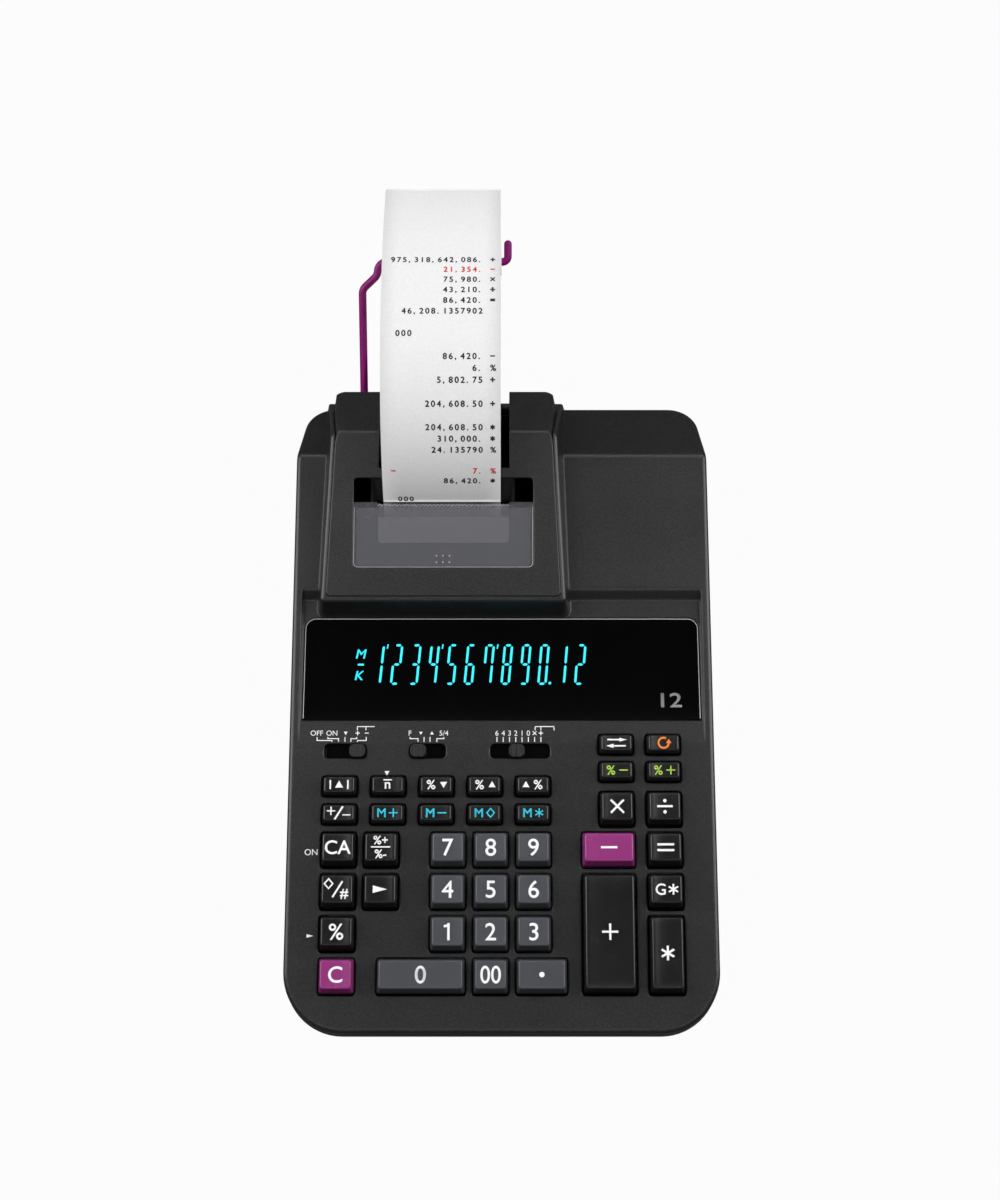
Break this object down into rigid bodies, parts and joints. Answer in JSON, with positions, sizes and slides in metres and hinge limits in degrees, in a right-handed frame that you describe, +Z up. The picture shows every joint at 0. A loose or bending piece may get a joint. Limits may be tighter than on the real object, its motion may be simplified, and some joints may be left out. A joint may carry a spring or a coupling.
{
  "type": "printing desk calculator",
  "caption": "Desk calculator with a sloped keyboard, a recessed display window, a paper printer under a lift-off cover and a paper roll on a fold-over wire arm.",
  "frame": {"origin": "on the desk, midway across and midway along the depth, paper roll included", "axes": "+Z up, front edge of the keyboard towards -Y, paper roll towards +Y, +X to the right of a person using it"},
  "size_m": [0.206, 0.408, 0.1385],
  "materials": {
    "casing": "fine texture",
    "cover": "fine texture",
    "window": "polished",
    "tube": "dark",
    "clear_plastic": "clear grey",
    "function_key": "semi gloss",
    "digit_key": "semi gloss",
    "accent_key": "semi gloss",
    "knob": "satin",
    "feet": "matt",
    "board": "satin",
    "mat": "matt",
    "steel": "plain",
    "tape": "matt",
    "roll": "matt",
    "arm": "satin",
    "frame": "satin",
    "roller": "matt",
    "ink": "matt",
    "carriage": "satin"
  },
  "bodies": {
    "casing": {"upper_case": "casing", "lower_case": "casing", "rubber_feet": "feet", "display_window": "window", "display_tube": "tube", "main_board": "board", "key_mat": "mat", "transformer": "steel", "printer_frame": "frame", "printer_motor": "steel", "paper_tape": "tape"},
    "cover": {"printer_cover": "cover", "tear_window": "clear_plastic"},
    "paper_arm": {"roll_arm": "arm"},
    "roll": {"paper_roll": "roll"},
    "feed": {"feed_roller": "roller"},
    "ink": {"ink_roll": "ink"},
    "carriage": {"print_carriage": "carriage"},
    "mode_knob": {"mode_switch_knob": "knob"},
    "rounding_knob": {"rounding_switch_knob": "knob"},
    "decimal_knob": {"decimal_switch_knob": "knob"},
    "key_feed": {"key_feed": "function_key"},
    "key_item": {"key_item": "function_key"},
    "key_cost": {"key_cost": "function_key"},
    "key_sell": {"key_sell": "function_key"},
    "key_margin": {"key_margin": "function_key"},
    "key_sign": {"key_sign": "function_key"},
    "key_memory_plus": {"key_memory_plus": "function_key"},
    "key_memory_minus": {"key_memory_minus": "function_key"},
    "key_memory_subtotal": {"key_memory_subtotal": "function_key"},
    "key_memory_total": {"key_memory_total": "function_key"},
    "key_change": {"key_change": "function_key"},
    "key_reprint": {"key_reprint": "function_key"},
    "key_tax_minus": {"key_tax_minus": "function_key"},
    "key_tax_plus": {"key_tax_plus": "function_key"},
    "key_multiply": {"key_multiply": "function_key"},
    "key_divide": {"key_divide": "function_key"},
    "key_all_clear": {"key_all_clear": "function_key"},
    "key_markup": {"key_markup": "function_key"},
    "key_subtotal": {"key_subtotal": "function_key"},
    "key_shift": {"key_shift": "function_key"},
    "key_percent": {"key_percent": "function_key"},
    "key_plus": {"key_plus": "function_key"},
    "key_equals": {"key_equals": "function_key"},
    "key_grand_total": {"key_grand_total": "function_key"},
    "key_total": {"key_total": "function_key"},
    "key_zero": {"key_zero": "digit_key"},
    "key_double_zero": {"key_double_zero": "digit_key"},
    "key_point": {"key_point": "digit_key"},
    "key_one": {"key_one": "digit_key"},
    "key_two": {"key_two": "digit_key"},
    "key_three": {"key_three": "digit_key"},
    "key_four": {"key_four": "digit_key"},
    "key_five": {"key_five": "digit_key"},
    "key_six": {"key_six": "digit_key"},
    "key_seven": {"key_seven": "digit_key"},
    "key_eight": {"key_eight": "digit_key"},
    "key_nine": {"key_nine": "digit_key"},
    "key_minus": {"key_minus": "accent_key"},
    "key_clear": {"key_clear": "accent_key"}
  },
  "joints": [
    {"name": "mode_slide", "type": "slide", "parent": "casing", "child": "mode_knob", "axis": [1, 0, 0], "range_m": [-0.0118, 0]},
    {"name": "rounding_slide", "type": "slide", "parent": "casing", "child": "rounding_knob", "axis": [1, 0, 0], "range_m": [0, 0.0089]},
    {"name": "decimal_slide", "type": "slide", "parent": "casing", "child": "decimal_knob", "axis": [1, 0, 0], "range_m": [-0.00848, 0.01172]},
    {"name": "cover_lift", "type": "slide", "parent": "casing", "child": "cover", "axis": [0, 0, 1], "range_m": [0, 0.012], "deforming": ["paper_tape"]},
    {"name": "paper_arm_fold", "type": "hinge", "parent": "casing", "child": "paper_arm", "pos_m": [-0.05, 0.11, 0.04], "axis": [1, 0, 0], "range_deg": [0, 50], "deforming": ["paper_tape"]},
    {"name": "paper_roll_spin", "type": "hinge", "parent": "paper_arm", "child": "roll", "pos_m": [-0.029, 0.176, 0.09], "axis": [1, 0, 0], "continuous": true},
    {"name": "feed_roller_spin", "type": "hinge", "parent": "casing", "child": "feed", "pos_m": [-0.029, 0.04296, 0.06], "axis": [1, 0, 0], "continuous": true},
    {"name": "ink_roll_spin", "type": "hinge", "parent": "casing", "child": "ink", "pos_m": [-0.029, 0.012, 0.054], "axis": [1, 0, 0], "continuous": true},
    {"name": "carriage_travel", "type": "slide", "parent": "casing", "child": "carriage", "axis": [1, 0, 0], "range_m": [0, 0.05]},
    {"name": "press_feed", "type": "slide", "parent": "casing", "child": "key_feed", "axis": [0, 0.1857, -0.9826], "range_m": [0, 0.003], "stiffness_N_per_m": 200, "springref_m": -0.003, "deforming": ["key_mat"]},
    {"name": "press_item", "type": "slide", "parent": "casing", "child": "key_item", "axis": [0, 0.1857, -0.9826], "range_m": [0, 0.003], "stiffness_N_per_m": 200, "springref_m": -0.003, "deforming": ["key_mat"]},
    {"name": "press_cost", "type": "slide", "parent": "casing", "child": "key_cost", "axis": [0, 0.1857, -0.9826], "range_m": [0, 0.003], "stiffness_N_per_m": 200, "springref_m": -0.003, "deforming": ["key_mat"]},
    {"name": "press_sell", "type": "slide", "parent": "casing", "child": "key_sell", "axis": [0, 0.1857, -0.9826], "range_m": [0, 0.003], "stiffness_N_per_m": 200, "springref_m": -0.003, "deforming": ["key_mat"]},
    {"name": "press_margin", "type": "slide", "parent": "casing", "child": "key_margin", "axis": [0, 0.1857, -0.9826], "range_m": [0, 0.003], "stiffness_N_per_m": 200, "springref_m": -0.003, "deforming": ["key_mat"]},
    {"name": "press_sign", "type": "slide", "parent": "casing", "child": "key_sign", "axis": [0, 0.1857, -0.9826], "range_m": [0, 0.003], "stiffness_N_per_m": 200, "springref_m": -0.003, "deforming": ["key_mat"]},
    {"name": "press_memory_plus", "type": "slide", "parent": "casing", "child": "key_memory_plus", "axis": [0, 0.1857, -0.9826], "range_m": [0, 0.003], "stiffness_N_per_m": 200, "springref_m": -0.003, "deforming": ["key_mat"]},
    {"name": "press_memory_minus", "type": "slide", "parent": "casing", "child": "key_memory_minus", "axis": [0, 0.1857, -0.9826], "range_m": [0, 0.003], "stiffness_N_per_m": 200, "springref_m": -0.003, "deforming": ["key_mat"]},
    {"name": "press_memory_subtotal", "type": "slide", "parent": "casing", "child": "key_memory_subtotal", "axis": [0, 0.1857, -0.9826], "range_m": [0, 0.003], "stiffness_N_per_m": 200, "springref_m": -0.003, "deforming": ["key_mat"]},
    {"name": "press_memory_total", "type": "slide", "parent": "casing", "child": "key_memory_total", "axis": [0, 0.1857, -0.9826], "range_m": [0, 0.003], "stiffness_N_per_m": 200, "springref_m": -0.003, "deforming": ["key_mat"]},
    {"name": "press_change", "type": "slide", "parent": "casing", "child": "key_change", "axis": [0, 0.1857, -0.9826], "range_m": [0, 0.003], "stiffness_N_per_m": 200, "springref_m": -0.003, "deforming": ["key_mat"]},
    {"name": "press_reprint", "type": "slide", "parent": "casing", "child": "key_reprint", "axis": [0, 0.1857, -0.9826], "range_m": [0, 0.003], "stiffness_N_per_m": 200, "springref_m": -0.003, "deforming": ["key_mat"]},
    {"name": "press_tax_minus", "type": "slide", "parent": "casing", "child": "key_tax_minus", "axis": [0, 0.1857, -0.9826], "range_m": [0, 0.003], "stiffness_N_per_m": 200, "springref_m": -0.003, "deforming": ["key_mat"]},
    {"name": "press_tax_plus", "type": "slide", "parent": "casing", "child": "key_tax_plus", "axis": [0, 0.1857, -0.9826], "range_m": [0, 0.003], "stiffness_N_per_m": 200, "springref_m": -0.003, "deforming": ["key_mat"]},
    {"name": "press_multiply", "type": "slide", "parent": "casing", "child": "key_multiply", "axis": [0, 0.1857, -0.9826], "range_m": [0, 0.003], "stiffness_N_per_m": 200, "springref_m": -0.003, "deforming": ["key_mat"]},
    {"name": "press_divide", "type": "slide", "parent": "casing", "child": "key_divide", "axis": [0, 0.1857, -0.9826], "range_m": [0, 0.003], "stiffness_N_per_m": 200, "springref_m": -0.003, "deforming": ["key_mat"]},
    {"name": "press_all_clear", "type": "slide", "parent": "casing", "child": "key_all_clear", "axis": [0, 0.1857, -0.9826], "range_m": [0, 0.003], "stiffness_N_per_m": 200, "springref_m": -0.003, "deforming": ["key_mat"]},
    {"name": "press_markup", "type": "slide", "parent": "casing", "child": "key_markup", "axis": [0, 0.1857, -0.9826], "range_m": [0, 0.003], "stiffness_N_per_m": 200, "springref_m": -0.003, "deforming": ["key_mat"]},
    {"name": "press_subtotal", "type": "slide", "parent": "casing", "child": "key_subtotal", "axis": [0, 0.1857, -0.9826], "range_m": [0, 0.003], "stiffness_N_per_m": 200, "springref_m": -0.003, "deforming": ["key_mat"]},
    {"name": "press_shift", "type": "slide", "parent": "casing", "child": "key_shift", "axis": [0, 0.1857, -0.9826], "range_m": [0, 0.003], "stiffness_N_per_m": 200, "springref_m": -0.003, "deforming": ["key_mat"]},
    {"name": "press_percent", "type": "slide", "parent": "casing", "child": "key_percent", "axis": [0, 0.1857, -0.9826], "range_m": [0, 0.003], "stiffness_N_per_m": 200, "springref_m": -0.003, "deforming": ["key_mat"]},
    {"name": "press_plus", "type": "slide", "parent": "casing", "child": "key_plus", "axis": [0, 0.1857, -0.9826], "range_m": [0, 0.003], "stiffness_N_per_m": 200, "springref_m": -0.003, "deforming": ["key_mat"]},
    {"name": "press_equals", "type": "slide", "parent": "casing", "child": "key_equals", "axis": [0, 0.1857, -0.9826], "range_m": [0, 0.003], "stiffness_N_per_m": 200, "springref_m": -0.003, "deforming": ["key_mat"]},
    {"name": "press_grand_total", "type": "slide", "parent": "casing", "child": "key_grand_total", "axis": [0, 0.1857, -0.9826], "range_m": [0, 0.003], "stiffness_N_per_m": 200, "springref_m": -0.003, "deforming": ["key_mat"]},
    {"name": "press_total", "type": "slide", "parent": "casing", "child": "key_total", "axis": [0, 0.1857, -0.9826], "range_m": [0, 0.003], "stiffness_N_per_m": 200, "springref_m": -0.003, "deforming": ["key_mat"]},
    {"name": "press_zero", "type": "slide", "parent": "casing", "child": "key_zero", "axis": [0, 0.1857, -0.9826], "range_m": [0, 0.003], "stiffness_N_per_m": 200, "springref_m": -0.003, "deforming": ["key_mat"]},
    {"name": "press_double_zero", "type": "slide", "parent": "casing", "child": "key_double_zero", "axis": [0, 0.1857, -0.9826], "range_m": [0, 0.003], "stiffness_N_per_m": 200, "springref_m": -0.003, "deforming": ["key_mat"]},
    {"name": "press_point", "type": "slide", "parent": "casing", "child": "key_point", "axis": [0, 0.1857, -0.9826], "range_m": [0, 0.003], "stiffness_N_per_m": 200, "springref_m": -0.003, "deforming": ["key_mat"]},
    {"name": "press_one", "type": "slide", "parent": "casing", "child": "key_one", "axis": [0, 0.1857, -0.9826], "range_m": [0, 0.003], "stiffness_N_per_m": 200, "springref_m": -0.003, "deforming": ["key_mat"]},
    {"name": "press_two", "type": "slide", "parent": "casing", "child": "key_two", "axis": [0, 0.1857, -0.9826], "range_m": [0, 0.003], "stiffness_N_per_m": 200, "springref_m": -0.003, "deforming": ["key_mat"]},
    {"name": "press_three", "type": "slide", "parent": "casing", "child": "key_three", "axis": [0, 0.1857, -0.9826], "range_m": [0, 0.003], "stiffness_N_per_m": 200, "springref_m": -0.003, "deforming": ["key_mat"]},
    {"name": "press_four", "type": "slide", "parent": "casing", "child": "key_four", "axis": [0, 0.1857, -0.9826], "range_m": [0, 0.003], "stiffness_N_per_m": 200, "springref_m": -0.003, "deforming": ["key_mat"]},
    {"name": "press_five", "type": "slide", "parent": "casing", "child": "key_five", "axis": [0, 0.1857, -0.9826], "range_m": [0, 0.003], "stiffness_N_per_m": 200, "springref_m": -0.003, "deforming": ["key_mat"]},
    {"name": "press_six", "type": "slide", "parent": "casing", "child": "key_six", "axis": [0, 0.1857, -0.9826], "range_m": [0, 0.003], "stiffness_N_per_m": 200, "springref_m": -0.003, "deforming": ["key_mat"]},
    {"name": "press_seven", "type": "slide", "parent": "casing", "child": "key_seven", "axis": [0, 0.1857, -0.9826], "range_m": [0, 0.003], "stiffness_N_per_m": 200, "springref_m": -0.003, "deforming": ["key_mat"]},
    {"name": "press_eight", "type": "slide", "parent": "casing", "child": "key_eight", "axis": [0, 0.1857, -0.9826], "range_m": [0, 0.003], "stiffness_N_per_m": 200, "springref_m": -0.003, "deforming": ["key_mat"]},
    {"name": "press_nine", "type": "slide", "parent": "casing", "child": "key_nine", "axis": [0, 0.1857, -0.9826], "range_m": [0, 0.003], "stiffness_N_per_m": 200, "springref_m": -0.003, "deforming": ["key_mat"]},
    {"name": "press_minus", "type": "slide", "parent": "casing", "child": "key_minus", "axis": [0, 0.1857, -0.9826], "range_m": [0, 0.003], "stiffness_N_per_m": 200, "springref_m": -0.003, "deforming": ["key_mat"]},
    {"name": "press_clear", "type": "slide", "parent": "casing", "child": "key_clear", "axis": [0, 0.1857, -0.9826], "range_m": [0, 0.003], "stiffness_N_per_m": 200, "springref_m": -0.003, "deforming": ["key_mat"]}
  ],
  "couplings": [
    {"joint": "feed_roller_spin", "follows": "paper_roll_spin", "ratio": 4.6667}
  ]
}
